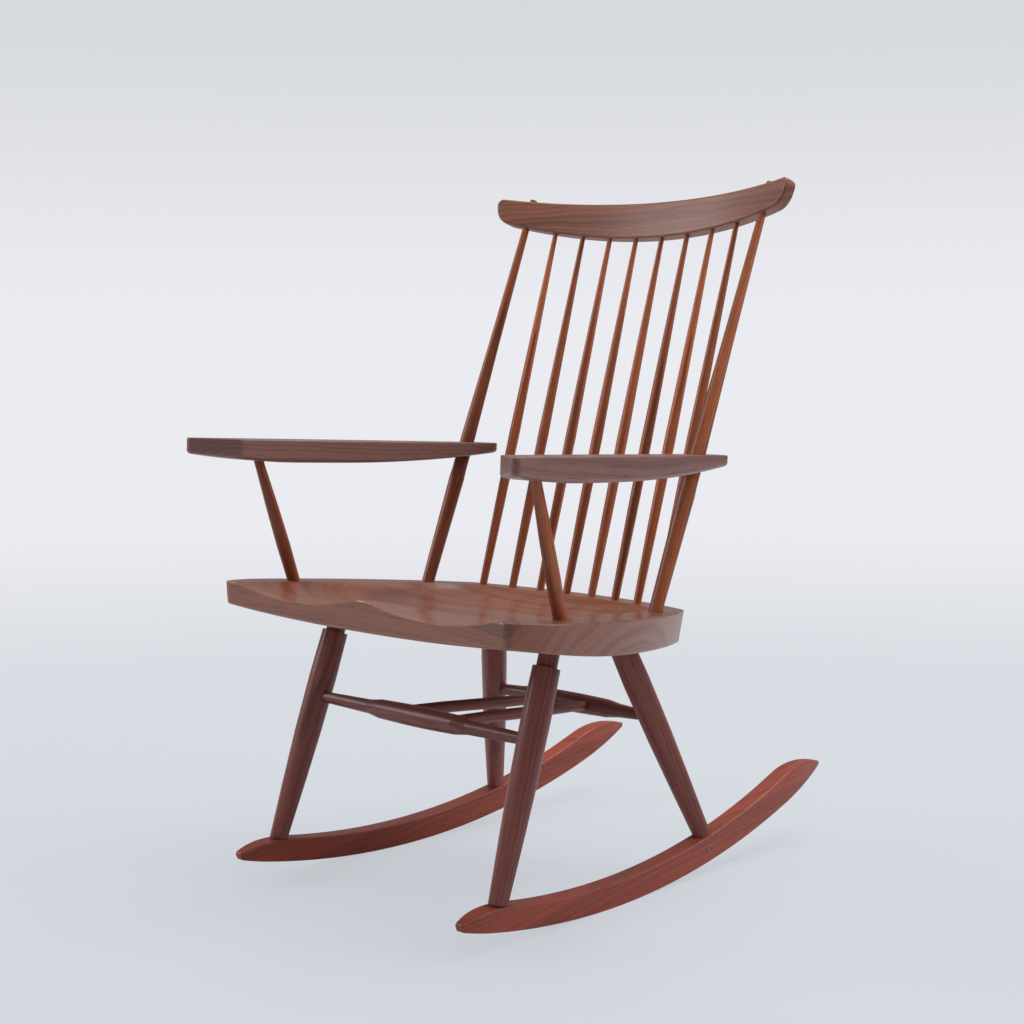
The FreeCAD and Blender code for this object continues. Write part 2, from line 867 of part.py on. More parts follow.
def make_scoop():
    """Everything above the carved surface, as a tool for the seat."""
    step = s.scoop_step.value
    across = math.ceil((s.seat_wide_x.value + s.tool_reach.value) / step)
    front = s.seat_corner_y.value - s.tool_reach.value
    length = s.seat_rear_y.value + s.seat_rear_bulge.value + s.tool_reach.value - front
    rows = math.ceil(length / step) + 1
    grid = []
    for column in range(-across, across + 1):
        x = column * step
        ys = [front + row * step for row in range(rows)]
        grid.append([vector(x, y, scoop_height(x, y)) for y in ys])
    surface = Part.BSplineSurface()
    surface.interpolate(grid)
    tool = doc.addObject("Part::Feature", "seat_scoop")
    rise = s.scoop_depth.value + s.scoop_front_depth.value + s.seat_thickness.value
    tool.Shape = surface.toShape().extrude(vector(0, 0, rise))
    tool.Placement = seat_frame
    return tool


def make_seat_blank():
    body = new_body("seat_blank")
    corners = [
        (seat_corner_x, s.seat_corner_y),
        (s.seat_wide_x, s.seat_wide_y),
        (seat_rear_x, s.seat_rear_y),
        (-seat_rear_x, s.seat_rear_y),
        (-s.seat_wide_x, s.seat_wide_y),
        (-seat_corner_x, s.seat_corner_y),
    ]

    def from_widest(x, y):
        """Radius of a side's arc that runs straight back at the widest point."""
        dx = s.seat_wide_x - x
        dy = s.seat_wide_y - y
        return (dx * dx + dy * dy) / (2 * dx)

    front_side = from_widest(seat_corner_x, s.seat_corner_y)
    rear_side = from_widest(seat_rear_x, s.seat_rear_y)
    back = bulging(corners[2], corners[3], s.seat_rear_bulge)
    hollow = bulging(corners[5], corners[0], s.seat_front_hollow)
    sketch = draw(
        new_sketch(body, "seat_outline", "XY_Plane"),
        corners,
        right={0: front_side, 1: rear_side, 2: back, 3: rear_side, 4: front_side},
        left={5: hollow},
    )
    pad(body, sketch, s.seat_thickness, downwards=True)
    undercut(body, "seat_undercut", s.seat_edge_undercut)
    front_end = s.seat_corner_y.value + s.seat_front_round.value
    rear_end = s.seat_rear_y.value - s.seat_rear_round.value
    soften(body, "seat_front_corners", s.seat_front_round,
           lambda edge: between_top_and_bottom(edge) and middle_of(edge).y < front_end)
    soften(body, "seat_rear_corners", s.seat_rear_round,
           lambda edge: between_top_and_bottom(edge) and middle_of(edge).y > rear_end)

    profile = new_sketch(body, "seat_relief_profile", "YZ_Plane")
    start_y = s.relief_centre_y - s.relief_start
    end_y = start_y - s.relief_reach
    end_height = rise_of_arc(s.relief_arc, s.relief_reach) - s.seat_thickness
    below = -s.seat_thickness - s.tool_reach
    draw(profile, [(start_y, -s.seat_thickness), (start_y, below), (end_y, below), (end_y, end_height)],
         right={3: s.relief_arc})
    centre = profile.addGeometry(
        Part.LineSegment(vector(s.relief_centre_y, -1, 0), vector(s.relief_centre_y, 1, 0)), True
    )
    hold(profile, "DistanceX", centre, 1, s.relief_centre_y)
    profile.addConstraint(Sketcher.Constraint("Vertical", centre))
    hold(profile, "DistanceY", centre, 1, Size.of(-1))
    hold(profile, "DistanceY", centre, 2, Size.of(1))
    before = body.Shape.Volume
    relief = body.newObject("PartDesign::Groove", "seat_relief")
    relief.Profile = profile
    relief.ReferenceAxis = (profile, ["Axis0"])
    relief.Angle = 360.0
    doc.recompute()
    if not body.Shape.Volume < before:
        raise RuntimeError("the relief cut nothing")

    def starts_relief(edge):
        """True for the edge where the flat underside runs smoothly into the relief."""
        point = middle_of(edge)
        away = math.hypot(point.x, point.y - s.relief_centre_y.value)
        return abs(away - s.relief_start.value) < 0.1

    soften(body, "seat_lower_edges", s.seat_bottom_edge,
           lambda edge: rim(edge) and middle_of(edge).z < -1 and not starts_relief(edge))
    soften(body, "seat_upper_edges", s.seat_top_edge,
           lambda edge: rim(edge) and middle_of(edge).z > -1)
    body.Placement = seat_frame
    return body


def enters_seat(name, line, tenon, radius):
    """Socket in the seat's top for a piece whose line starts there."""
    return socket(name, line, -tenon, radius, tenon)


def enters_from_below(name, line, tenon, radius):
    """Socket in the seat's underside for a leg."""
    return socket(name, line.reversed(), -tenon, radius, tenon)


seat_sockets = []
for number, line in enumerate(spindle_lines, 1):
    seat_sockets.append(
        enters_seat(f"seat_socket_{number}", line, s.spindle_seat_tenon, s.spindle_foot_radius)
    )
for hand, side in SIDES:
    seat_sockets += [
        enters_seat(f"seat_{hand}_post_socket", post_lines[hand], s.post_seat_tenon, s.post_foot_radius),
        enters_seat(
            f"seat_{hand}_support_socket", support_lines[hand], s.support_seat_tenon, s.support_foot_radius
        ),
        enters_from_below(
            f"seat_{hand}_front_leg_socket", front_leg_lines[hand], s.leg_seat_tenon, s.leg_neck_radius
        ),
        enters_from_below(
            f"seat_{hand}_back_leg_socket",
            back_leg_lines[hand],
            s.back_leg_seat_tenon,
            s.back_leg_tenon_radius,
        ),
        enters_from_below(
            f"seat_{hand}_back_leg_housing", back_leg_lines[hand], s.back_leg_housing, s.leg_top_radius
        ),
    ]
piece("seat", less("seat", make_seat_blank(), make_scoop(), *seat_sockets))


# Crest rail: bowed in plan, and cut to its outline from the front

def make_crest():
    body = new_body("crest_rail_blank")
    reach = s.crest_half_length + s.tool_reach
    front_radius = s.crest_plan_radius - s.crest_front_cover
    back_radius = s.crest_plan_radius + s.crest_back_cover
    front_y = root(front_radius * front_radius - reach * reach) - s.crest_plan_radius
    back_y = root(back_radius * back_radius - reach * reach) - s.crest_plan_radius
    bow = draw(
        new_sketch(body, "crest_rail_bow", "XY_Plane"),
        [(-reach, front_y), (reach, front_y), (reach, back_y), (-reach, back_y)],
        right={2: back_radius},
        left={0: front_radius},
    )
    tip_x = s.crest_half_length
    heel_x = tip_x - s.crest_end_slant
    heel_height = rise_of_arc(s.crest_bottom_radius, heel_x)
    tip_height = s.crest_middle_rise + rise_of_arc(s.crest_top_radius, tip_x)
    tall = tip_height + s.tool_reach
    pad(body, bow, 2 * tall, symmetric=True)
    face = new_sketch(body, "crest_rail_outline", "XZ_Plane")
    wide = reach + s.tool_reach
    draw(face, [(-wide, -wide), (wide, -wide), (wide, wide), (-wide, wide)])
    draw(
        face,
        [(-heel_x, heel_height), (heel_x, heel_height), (tip_x, tip_height), (-tip_x, tip_height)],
        right={0: s.crest_bottom_radius},
        left={2: s.crest_top_radius},
    )
    pocket_through(body, face)

    def across(edge, aside, height):
        """True for the rail's cross edge at an outline corner."""
        point = middle_of(edge)
        ends = edge.Vertexes
        level = abs(ends[0].Z - ends[1].Z) < SAME
        return level and abs(abs(point.x) - aside.value) < 1 and abs(point.z - height.value) < 1

    heel_round = smaller(s.crest_end_round, s.crest_middle_rise)
    soften(body, "crest_rail_heels", heel_round, lambda edge: across(edge, heel_x, heel_height))
    soften(body, "crest_rail_tips", s.crest_top_corner, lambda edge: across(edge, tip_x, tip_height))

    def on_a_face(edge):
        """True for an edge that lies in the front or the back face."""
        points = [edge.valueAt(edge.FirstParameter), middle_of(edge), edge.valueAt(edge.LastParameter)]
        for radius in (front_radius.value, back_radius.value):
            off = [abs(math.hypot(p.x, p.y + s.crest_plan_radius.value) - radius) for p in points]
            if max(off) < SAME:
                return True
        return False

    soften(body, "crest_rail_edges", s.crest_edge, on_a_face)
    body.Placement = crest_frame
    return body


crest_sockets = []
for number, line in enumerate(spindle_lines, 1):
    crest_sockets.append(
        socket(
            f"crest_socket_{number}",
            line.reversed(),
            -s.spindle_crest_tenon,
            s.spindle_top_radius,
            s.spindle_crest_tenon,
        )
    )
for hand, line in post_lines.items():
    crest_sockets.append(
        rod(
            f"crest_{hand}_post_hole",
            s.post_top_radius + s.joint_gap,
            s.crest_middle_rise + 2 * s.tool_reach,
            line.frame(line.length - s.tool_reach.value),
        )
    )
piece("crest_rail", less("crest_rail", make_crest(), *crest_sockets))


# Spindles

for number, line in enumerate(spindle_lines, 1):
    length = Size.of(line.length)
    piece(f"spindle_{number}", turned(f"spindle_{number}", [
        (-s.spindle_seat_tenon, s.spindle_foot_radius),
        (s.spindle_foot_radius, s.spindle_foot_radius),
        (length * s.spindle_low_share, s.spindle_low_radius),
        (length * s.spindle_thick_share, s.spindle_thick_radius),
        (length * s.spindle_slim_share, s.spindle_slim_radius),
        (length - s.spindle_foot_radius, s.spindle_top_radius),
        (length + s.spindle_crest_tenon, s.spindle_top_radius),
    ], line.frame()))


# Posts, through the arms and the crest rail, with a wedge in the top of each

def arm_span(hand):
    """Where a post's line enters its arm from below, and where it leaves the top."""
    line = post_lines[hand]
    frame = arm_frames[hand]
    up = frame.Rotation.multVec(UP)
    under = line.meets(frame.multVec(vector(0, 0, -s.arm_thickness)), up)
    return Size.of(under), Size.of(line.meets(frame.Base, up))


def make_post(hand):
    name = f"{hand}_post"
    line = post_lines[hand]
    arm_under, arm_top = arm_span(hand)
    crest_rise = s.crest_middle_rise + rise_of_arc(s.crest_top_radius, s.post_top_x)
    crest_up = crest_frame.Rotation.multVec(UP)
    crest_top = line.meets(crest_frame.multVec(vector(0, 0, crest_rise)), crest_up)
    length = Size.of(line.length)
    end = Size.of(crest_top) + s.post_above_crest
    slim = arm_top + (length - arm_top) * s.post_slim_share
    blank = turned(name + "_turned", [
        (-s.post_seat_tenon, s.post_foot_radius),
        (s.post_foot_radius, s.post_foot_radius),
        (arm_under - s.post_under_arm, s.post_thick_radius),
        (arm_under - s.post_arm_radius, s.post_arm_radius),
        (arm_top + s.post_arm_radius, s.post_arm_radius),
        (slim, s.post_slim_radius),
        (length - s.post_top_radius, s.post_top_radius),
        (end, s.post_top_radius),
    ], line.frame())
    wedge_body = new_body(name + "_wedge_blank")
    half = s.wedge_thickness / 2
    profile = draw(new_sketch(wedge_body, name + "_wedge_profile", "XZ_Plane"), [
        (0, -s.wedge_depth),
        (half, 0),
        (-half, 0),
    ])
    pad(wedge_body, profile, 2 * (s.post_top_radius + s.tool_reach), symmetric=True)
    wedge_body.Placement = line.frame(end.value)
    tip = rod(name + "_tip", s.post_top_radius, s.wedge_depth, line.frame(end.value - s.wedge_depth.value))
    piece(name, less(name, blank, wedge_body))
    piece(name + "_wedge", common(name + "_wedge", wedge_body, tip))


for hand, side in SIDES:
    make_post(hand)


# Arm supports

for hand, line in support_lines.items():
    length = Size.of(line.length)
    piece(f"{hand}_arm_support", turned(f"{hand}_arm_support", [
        (-s.support_seat_tenon, s.support_foot_radius),
        (s.support_foot_radius, s.support_foot_radius),
        (length * s.support_thick_share, s.support_thick_radius),
        (length * s.support_slim_share, s.support_slim_radius),
        (length - s.support_top_radius, s.support_top_radius),
        (length + s.support_arm_tenon, s.support_top_radius),
    ], line.frame()))


# Arms

def make_arm(hand, side):
    body = new_body(f"{hand}_arm_blank")
    corners = [
        (side * s.arm_outer_front_x, s.arm_outer_front_y),
        (side * s.arm_outer_rear_x, s.arm_outer_rear_y),
        (side * s.arm_inner_rear_x, s.arm_inner_rear_y),
        (side * s.arm_inner_front_x, s.arm_inner_front_y),
    ]
    outer = bulging(corners[0], corners[1], s.arm_outer_swell)
    inner = bulging(corners[2], corners[3], s.arm_inner_swell)
    sketch = new_sketch(body, f"{hand}_arm_outline", "XY_Plane")
    if side > 0:
        draw(sketch, corners, right={0: outer, 2: inner})
    else:
        draw(sketch, corners, left={0: outer, 2: inner})
    pad(body, sketch, s.arm_thickness, downwards=True)
    middle_y = (s.arm_outer_front_y.value + s.arm_outer_rear_y.value) / 2
    soften(body, f"{hand}_arm_front_corners", s.arm_front_corner,
           lambda edge: between_top_and_bottom(edge) and middle_of(edge).y < middle_y)
    soften(body, f"{hand}_arm_rear_corners", s.arm_rear_corner,
           lambda edge: between_top_and_bottom(edge) and middle_of(edge).y > middle_y)

    def relief(name, end_y, outwards, taper, thickness):
        """Hollows the underside from full thickness down to the end's."""
        start_y = end_y - outwards * taper
        rise = s.arm_thickness - thickness
        arc = (taper * taper + rise * rise) / (2 * rise)
        past_y = end_y + outwards * s.tool_reach
        past = taper + s.tool_reach
        past_height = rise_of_arc(arc, past) - s.arm_thickness
        below = -s.arm_thickness - s.tool_reach
        profile = new_sketch(body, name, "YZ_Plane")
        outline = [(start_y, -s.arm_thickness), (start_y, below), (past_y, below), (past_y, past_height)]
        if outwards > 0:
            draw(profile, outline, left={3: arc})
        else:
            draw(profile, outline, right={3: arc})
        pocket_through(body, profile)

    relief(f"{hand}_arm_front_relief", s.arm_outer_front_y, -1, s.arm_front_taper, s.arm_front_thickness)
    relief(f"{hand}_arm_rear_relief", s.arm_outer_rear_y, 1, s.arm_rear_taper, s.arm_rear_thickness)
    soften(body, f"{hand}_arm_lower_edges", s.arm_bottom_edge,
           lambda edge: rim(edge) and middle_of(edge).z < -1)
    soften(body, f"{hand}_arm_upper_edges", s.arm_top_edge,
           lambda edge: rim(edge) and middle_of(edge).z > -1)
    body.Placement = arm_frames[hand]
    return body


for hand, side in SIDES:
    blank = make_arm(hand, side)
    under, top = arm_span(hand)
    hole = rod(
        f"{hand}_arm_post_hole",
        s.post_arm_radius + s.joint_gap,
        top - under + 2 * s.tool_reach,
        post_lines[hand].frame(under.value - s.tool_reach.value),
    )
    bore = socket(
        f"{hand}_arm_support_socket",
        support_lines[hand].reversed(),
        -s.support_arm_tenon,
        s.support_top_radius,
        s.support_arm_tenon,
    )
    piece(f"{hand}_arm", less(f"{hand}_arm", blank, hole, bore))


# The chair at rest: it rocks until its weight hangs under the axis that its rockers roll about.
# Its origin is then on the floor, under the middle of its outline.

def move_all(placement):
    for item in nodes.values():
        item.Placement = placement.multiply(item.Placement)
    doc.recompute()


doc.recompute()
for item in doc.Objects:
    if "Invalid" in item.State or "Error" in item.State:
        raise RuntimeError(f"{item.Name}: {item.State}")
for name, item in nodes.items():
    if item.Shape.isNull() or not item.Shape.isValid():
        raise RuntimeError(f"{name}: bad shape")

volume = sum(item.Shape.Volume for item in nodes.values())
balance = vector(0, 0, 0)
for item in nodes.values():
    balance += item.Shape.CenterOfGravity * (item.Shape.Volume / volume)
rolling_axis = vector(0, s.rocker_low_y, s.rocker_bottom_radius)
hang = balance - rolling_axis
rest_angle = math.degrees(math.atan2(hang.y, -hang.z))
move_all(FreeCAD.Placement(vector(0, 0, 0), FreeCAD.Rotation(vector(1, 0, 0), -rest_angle), rolling_axis))
outline = Part.makeCompound([item.Shape for item in nodes.values()]).optimalBoundingBox(False)
move_all(FreeCAD.Placement(vector(-outline.Center.x, -outline.Center.y, -outline.ZMin), FreeCAD.Rotation()))

os.makedirs("parts", exist_ok=True)
for name, item in nodes.items():
    item.Shape.exportStep(f"parts/{name}.step")
print(f"{len(nodes)} pieces, {volume / 1e6:.2f} litres; at rest it leans back {rest_angle:.3f} degrees")
print(f"overall {outline.XLength:.1f} x {outline.YLength:.1f} x {outline.ZLength:.1f} mm")
print(f"set down by y {-outline.Center.y:.3f}, z {-outline.ZMin:.3f} after that")
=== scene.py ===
"""A rocking armchair in satin walnut, dressed on its fixed frame and set in a pale studio."""

import logging
import math
from dataclasses import dataclass
from enum import Enum
from typing import Any, Iterable, Optional, Union

import bpy
from mathutils import Matrix, Vector

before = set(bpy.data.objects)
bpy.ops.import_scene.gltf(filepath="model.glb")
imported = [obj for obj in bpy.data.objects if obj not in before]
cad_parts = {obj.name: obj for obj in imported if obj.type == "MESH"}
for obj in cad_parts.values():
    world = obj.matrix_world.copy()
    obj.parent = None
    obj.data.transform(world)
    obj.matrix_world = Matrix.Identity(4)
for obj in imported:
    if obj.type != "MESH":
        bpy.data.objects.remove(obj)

logging.basicConfig(level=logging.INFO, format="%(message)s")
log = logging.getLogger("chair")

Colour = tuple[float, float, float]
Point = tuple[float, float, float]


class Hand(Enum):
    """The sitter's side of the chair."""

    LEFT = "left"
    RIGHT = "right"

    @property
    def side(self) -> int:
        """Sign of X on this side."""
        return 1 if self is Hand.LEFT else -1


# Shader maths


class Signal:
    """A number at each point of a surface; arithmetic on it adds Math nodes."""

    def __init__(self, shader: "Shader", socket: Any) -> None:
        self.shader = shader
        self.socket = socket

    def _math(self, operation: str, *values: Any) -> "Signal":
        """Adds one Math node over the values."""
        node = self.shader.node("ShaderNodeMath", {"operation": operation}, dict(enumerate(values)))
        return Signal(self.shader, node.outputs[0])

    def __add__(self, other: Any) -> "Signal":
        return self._math("ADD", self, other)

    def __sub__(self, other: Any) -> "Signal":
        return self._math("SUBTRACT", self, other)

    def __mul__(self, other: Any) -> "Signal":
        return self._math("MULTIPLY", self, other)

    def __truediv__(self, other: Any) -> "Signal":
        return self._math("DIVIDE", self, other)

    def __radd__(self, other: Any) -> "Signal":
        return self._math("ADD", other, self)

    def __rsub__(self, other: Any) -> "Signal":
        return self._math("SUBTRACT", other, self)

    def fraction(self) -> "Signal":
        """What is left of the number past its whole part."""
        return self._math("FRACT", self)

    def floor(self) -> "Signal":
        """The number's whole part."""
        return self._math("FLOOR", self)

    def eased(self, low: float, high: float) -> "Signal":
        """Runs smoothly from 0 at low to 1 at high.

        Args:
            low: where it leaves 0; it may be above high.
            high: where it reaches 1.

        Returns:
            The eased number.
        """
        node = self.shader.node(
            "ShaderNodeMapRange",
            {"interpolation_type": "SMOOTHSTEP"},
            {"Value": self, "From Min": low, "From Max": high, "To Min": 0.0, "To Max": 1.0},
        )
        return Signal(self.shader, node.outputs["Result"])


class Shader:
    """The node tree of one material or of the world, built in code."""

    def __init__(self, tree: bpy.types.NodeTree) -> None:
        self.tree = tree
        tree.nodes.clear()

    def node(self, kind: str, settings: Optional[dict[str, Any]] = None,
             inputs: Optional[dict[Union[str, int], Any]] = None) -> bpy.types.Node:
        """Adds a node.

        Args:
            kind: the node's type.
            settings: its own properties, which are set first.
            inputs: a number, colour, signal or socket for each input, by name or number.

        Returns:
            The node.
        """
        node = self.tree.nodes.new(kind)
        for name, value in (settings or {}).items():
            setattr(node, name, value)
        for name, value in (inputs or {}).items():
            socket = node.inputs[name]
            if isinstance(value, Signal):
                self.tree.links.new(value.socket, socket)
            elif isinstance(value, bpy.types.NodeSocket):
                self.tree.links.new(value, socket)
            elif socket.type == "RGBA" and len(value) == 3:
                socket.default_value = (*value, 1.0)
            else:
                socket.default_value = value
        return node

    def signal(self, socket: Any) -> Signal:
        """Wraps a socket for arithmetic."""
        return Signal(self, socket)

    def noise(self, vector: Any, scale: float, detail: float = 2.0, roughness: float = 0.5) -> Signal:
        """Smooth noise between 0 and 1 at points in space."""
        node = self.node(
            "ShaderNodeTexNoise", {"noise_dimensions": "3D"},
            {"Vector": vector, "Scale": scale, "Detail": detail, "Roughness": roughness},
        )
        return self.signal(node.outputs["Fac"])

    def noise_along(self, distance: Signal, scale: float, detail: float = 1.0) -> Signal:
        """Smooth noise between 0 and 1 along one distance."""
        node = self.node(
            "ShaderNodeTexNoise", {"noise_dimensions": "1D"},
            {"W": distance, "Scale": scale, "Detail": detail, "Roughness": 0.6},
        )
        return self.signal(node.outputs["Fac"])

    def stretched(self, vector: Any, factors: Point) -> Any:
        """The vector with each of its parts multiplied."""
        node = self.node("ShaderNodeVectorMath", {"operation": "MULTIPLY"}, {0: vector, 1: factors})
        return node.outputs["Vector"]

    def mixed(self, amount: Any, base: Any, over: Any, blend: str = "MIX") -> Any:
        """Colour over the base colour by an amount between 0 and 1."""
        node = self.node(
            "ShaderNodeMix", {"data_type": "RGBA", "blend_type": blend, "clamp_factor": True},
            {0: amount, 6: base, 7: over},
        )
        return node.outputs[2]


# The wood

# Repeats in a metre, along the fibres and across them
FIGURE: Point = (3.0, 13.0, 13.0)
RIPPLE: Point = (9.0, 70.0, 70.0)
CLOUD: Point = (7.0, 16.0, 16.0)
FIBRE: Point = (14.0, 850.0, 850.0)
PORE: Point = (34.0, 1250.0, 1250.0)
STREAKS_PER_METRE = 46.0
ACROSS: Point = (0.0, 1.0, 1.0)
RIPPLE_WIDTH = 0.0016
ARRIS_WIDTH = 0.0018
GRAIN_RELIEF = 0.0004


@dataclass(frozen=True)
class Grain:
    """How the grain runs in one piece, in the chair's own frame.

    Args:
        along: direction of the fibres.
        pith: a point on the axis of the growth rings.
    """

    along: Point
    pith: Point

    def mapping(self) -> tuple[Vector, Any]:
        """Turns the frame so that X runs along the fibres and the pith lies on X.

        Returns:
            Location and rotation of a Mapping node.
        """
        x = Vector(self.along).normalized()
        helper = Vector((0, 0, 1)) if abs(x.z) < 0.9 else Vector((0, 1, 0))
        y = helper.cross(x).normalized()
        z = x.cross(y)
        turn = Matrix((x, y, z))
        return -(turn @ Vector(self.pith)), turn.to_euler()


@dataclass(frozen=True)
class Walnut:
    """Oiled and rubbed walnut with growth rings, streaks, fibres and open pores, and colour painted
    along its edges: a painted highlight on light finishes, painted shade on dark ones.

    Args:
        early: colour of the soft part of a ring.
        late: colour of the dense end of a ring.
        heart: colour of the dark streaks that follow the rings.
        pore: colour in the pores.
        ring: width of a growth ring in metres.
        ring_contrast: how far the dense lines show, 0 to 1.
        streak_contrast: how far the dark streaks show, 0 to 1.
        pore_contrast: how far the pores show, 0 to 1.
        wobble: how far the rings stray, in metres.
        roughness: roughness of the wood under its finish.
        coat: weight of the finish.
        coat_roughness: roughness of the finish.
        painted_edge: colour painted along the edges, a painted highlight where it is light and painted
            shade where it is dark.
        painted_edge_share: how far the painted edge colour shows, 0 to 1.
        specular: strength of the wood's own gloss under the finish.
    """

    early: Colour
    late: Colour
    heart: Colour
    pore: Colour = (0.020, 0.008, 0.005)
    ring: float = 0.0055
    ring_contrast: float = 0.6
    streak_contrast: float = 0.65
    pore_contrast: float = 0.5
    wobble: float = 0.006
    roughness: float = 0.42
    coat: float = 0.18
    coat_roughness: float = 0.18
    painted_edge: Colour = (0.55, 0.24, 0.15)
    painted_edge_share: float = 0.5
    specular: float = 0.25

    def material(self, name: str, grain: Grain) -> bpy.types.Material:
        """Makes the finish of one piece.

        Args:
            name: the material's name.
            grain: the piece's grain.

        Returns:
            The material.
        """
        material = bpy.data.materials.new(name)
        material.use_nodes = True
        shader = Shader(material.node_tree)
        place = shader.node("ShaderNodeTexCoord").outputs["Object"]
        location, rotation = grain.mapping()
        turned = shader.node(
            "ShaderNodeMapping", {"vector_type": "POINT"},
            {"Vector": place, "Location": location, "Rotation": rotation},
        ).outputs["Vector"]

        long_noise = shader.noise(shader.stretched(turned, FIGURE), 1.0, 2.0)
        fine_noise = shader.noise(shader.stretched(turned, RIPPLE), 1.0, 2.0)
        flat = shader.stretched(turned, ACROSS)
        away = shader.node("ShaderNodeVectorMath", {"operation": "LENGTH"}, {0: flat}).outputs["Value"]
        radius = shader.signal(away) + (long_noise - 0.5) * (4 * self.wobble)
        radius = radius + (fine_noise - 0.5) * RIPPLE_WIDTH

        rings = radius / self.ring
        phase = rings.fraction()
        line = phase.eased(0.45, 0.93) * phase.eased(1.0, 0.95)
        strength = shader.noise_along(rings.floor(), 0.73, 0.0)
        lines = line * strength.eased(0.25, 0.75)
        streaks = shader.noise_along(radius, STREAKS_PER_METRE, 3.0).eased(0.42, 0.68)
        fibres = shader.noise(shader.stretched(turned, FIBRE), 1.0, 2.0)
        pores = shader.noise(shader.stretched(turned, PORE), 1.0, 1.0).eased(0.60, 0.72)
        clouds = shader.noise(shader.stretched(turned, CLOUD), 1.0, 3.0)

        colour = shader.mixed(lines * self.ring_contrast, self.early, self.late)
        colour = shader.mixed(streaks * self.streak_contrast, colour, self.heart)
        shade = 0.86 + clouds * 0.28 + (fibres - 0.5) * 0.34
        grey = shader.node("ShaderNodeCombineColor", {}, {0: shade, 1: shade, 2: shade}).outputs["Color"]
        colour = shader.mixed(1.0, colour, grey, "MULTIPLY")
        colour = shader.mixed(pores * self.pore_contrast, colour, self.pore)
        # Painted edge light: where the Bevel normal turns away from the face's normal, the edge colour
        # is painted on, as a painted highlight on light finishes and painted shade on dark ones.
        softened = shader.node("ShaderNodeBevel", {"samples": 4}, {"Radius": ARRIS_WIDTH})
        rounded = softened.outputs["Normal"]
        facing = shader.node("ShaderNodeNewGeometry").outputs["Normal"]
        same = shader.node("ShaderNodeVectorMath", {"operation": "DOT_PRODUCT"}, {0: rounded, 1: facing})
        painted_edge_mask = shader.signal(same.outputs["Value"]).eased(0.985, 0.90)
        colour = shader.mixed(painted_edge_mask * self.painted_edge_share, colour, self.painted_edge)

        height = (1.0 - pores) * 0.6 + fibres * 0.4
        bump = shader.node(
            "ShaderNodeBump", {},
            {"Strength": 0.12, "Distance": GRAIN_RELIEF, "Height": height, "Normal": rounded},
        ).outputs["Normal"]
        rough = self.roughness + lines * -0.05 + pores * 0.12 + (clouds - 0.5) * 0.08
        finish = shader.node(
            "ShaderNodeBsdfPrincipled", {},
            {
                "Base Color": colour,
                "Roughness": rough,
                "Normal": bump,
                "Specular IOR Level": self.specular,
                "Coat Weight": self.coat,
                "Coat Roughness": self.coat_roughness,
            },
        )
        shader.node("ShaderNodeOutputMaterial", {}, {"Surface": finish.outputs["BSDF"]})
        return material


# The edge colours below are painted light: the bright ones on the plank, the turned pieces and the
# runners are painted highlights, and the dark ones on the rail and the paddles are painted shade. The
# split pieces and the end grain get none.
PLANK = Walnut(early=(0.275, 0.090, 0.046), late=(0.105, 0.030, 0.017), heart=(0.115, 0.036, 0.024),
               ring_contrast=0.42, streak_contrast=0.6, coat=0.5, specular=0.4,
               painted_edge=(0.72, 0.26, 0.12), painted_edge_share=0.65)
RAIL = Walnut(early=(0.290, 0.104, 0.060), late=(0.080, 0.024, 0.015), heart=(0.100, 0.032, 0.022),
              ring=0.009, wobble=0.011, specular=0.35, painted_edge=(0.045, 0.010, 0.008), painted_edge_share=0.75)
PADDLE = Walnut(early=(0.245, 0.108, 0.086), late=(0.100, 0.036, 0.028), heart=(0.095, 0.036, 0.030),
                coat=0.35, specular=0.5, painted_edge=(0.050, 0.018, 0.016), painted_edge_share=0.6)
TURNED = Walnut(early=(0.255, 0.078, 0.063), late=(0.080, 0.023, 0.019), heart=(0.085, 0.025, 0.021),
                painted_edge=(0.30, 0.14, 0.11), painted_edge_share=0.4)
RUNNER = Walnut(early=(0.345, 0.062, 0.034), late=(0.140, 0.030, 0.018), heart=(0.165, 0.038, 0.024),
                painted_edge=(0.80, 0.40, 0.33), painted_edge_share=0.85)
SPLIT = Walnut(early=(0.520, 0.148, 0.054), late=(0.140, 0.032, 0.012), heart=(0.110, 0.024, 0.010),
               ring=0.0032, wobble=0.0015, ring_contrast=0.8, streak_contrast=0.85, painted_edge_share=0.0)
ENDGRAIN = Walnut(early=(0.30, 0.16, 0.09), late=(0.15, 0.07, 0.04), heart=(0.16, 0.08, 0.05),
                  painted_edge_share=0.0)


def ends_of(node: str) -> tuple[Vector, Vector]:
    """Finds the two ends of a long piece.

    Args:
        node: name of the piece's node.

    Returns:
        The middles of its two ends, measured on the mesh along its longest direction.
    """
    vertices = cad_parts[node].data.vertices
    points = [v.co for v in vertices]
    middle = sum(points, Vector()) / len(points)
    far = max(points, key=lambda p: (p - middle).length)
    axis = (far - middle).normalized()
    reach = [(p - middle).dot(axis) for p in points]
    high, low = max(reach), min(reach)
    span = (high - low) * 0.02
    top = [p for p, r in zip(points, reach) if r > high - span]
    bottom = [p for p, r in zip(points, reach) if r < low + span]
    return sum(bottom, Vector()) / len(bottom), sum(top, Vector()) / len(top)


